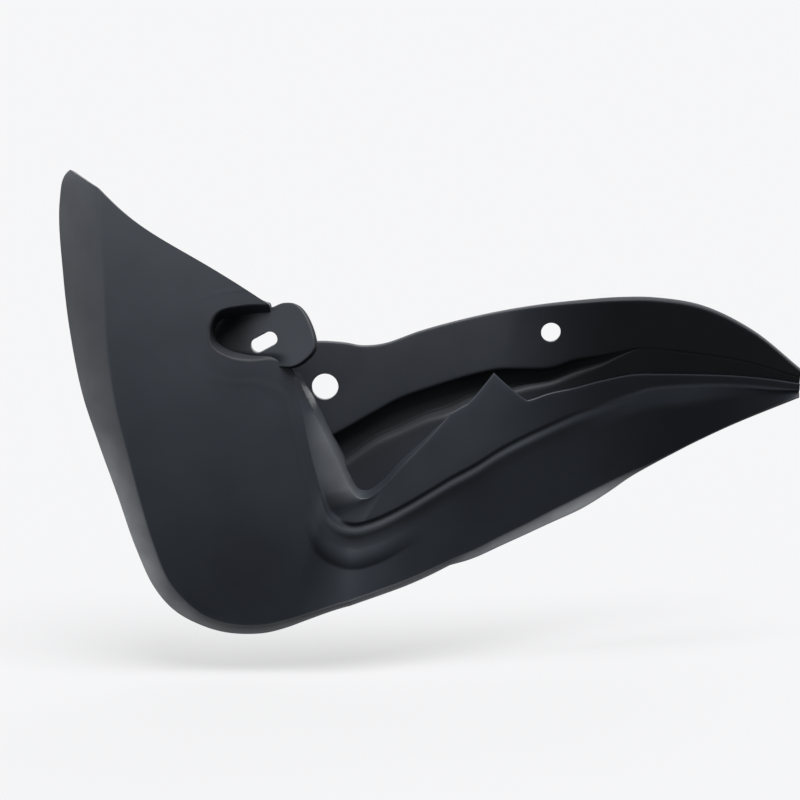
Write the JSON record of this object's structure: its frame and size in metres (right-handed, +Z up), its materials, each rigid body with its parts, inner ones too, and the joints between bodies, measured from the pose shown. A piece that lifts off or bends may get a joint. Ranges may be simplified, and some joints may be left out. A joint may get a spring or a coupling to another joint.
{
  "type": "vehicle mud flap",
  "caption": "Flexible moulded wheel-arch mud flap: domed outer panel with rolled rim, screw pocket and tab, twisted channel with liner flange, lip groove, ledge and skirt.",
  "frame": {"origin": "on the flat seat face of the liner flange, 10 mm along from its first fastener hole", "axes": "+X along the channel towards the tail, +Y out of the liner flange's seat face (away from the outer face), +Z up"},
  "size_m": [0.2294, 0.063, 0.1401],
  "materials": {
    "tpe_face": "satin moulded thermoplastic elastomer",
    "tpe_channel": "satin moulded thermoplastic elastomer"
  },
  "bodies": {
    "channel": {"return_wall": "tpe_channel", "ledge": "tpe_channel", "gusset_tooth": "tpe_channel", "toe_floor": "tpe_channel", "channel_web": "tpe_channel", "lip_groove": "tpe_channel", "liner_flange": "tpe_channel", "corner_skirt": "tpe_channel", "skirt": "tpe_channel", "skirt_rim": "tpe_channel"},
    "panel": {"outer_panel": "tpe_face", "panel_rim": "tpe_face", "screw_pocket": "tpe_face", "mounting_tab": "tpe_face"},
    "tail": {"tail_flange": "tpe_channel", "tail_skirt": "tpe_channel"}
  },
  "joints": [
    {"name": "panel_flex", "type": "hinge", "parent": "channel", "child": "panel", "pos_m": [-0.01075, -0.0169, -0.0285], "axis": [-0.2055, -0.0397, 0.9779], "range_deg": [-12, 12], "stiffness_Nm_per_rad": 1.2},
    {"name": "tail_flex", "type": "hinge", "parent": "channel", "child": "tail", "pos_m": [0.0848, 0.0119, 0], "axis": [0, -0.4108, 0.9117], "range_deg": [-10, 10], "stiffness_Nm_per_rad": 0.8}
  ]
}
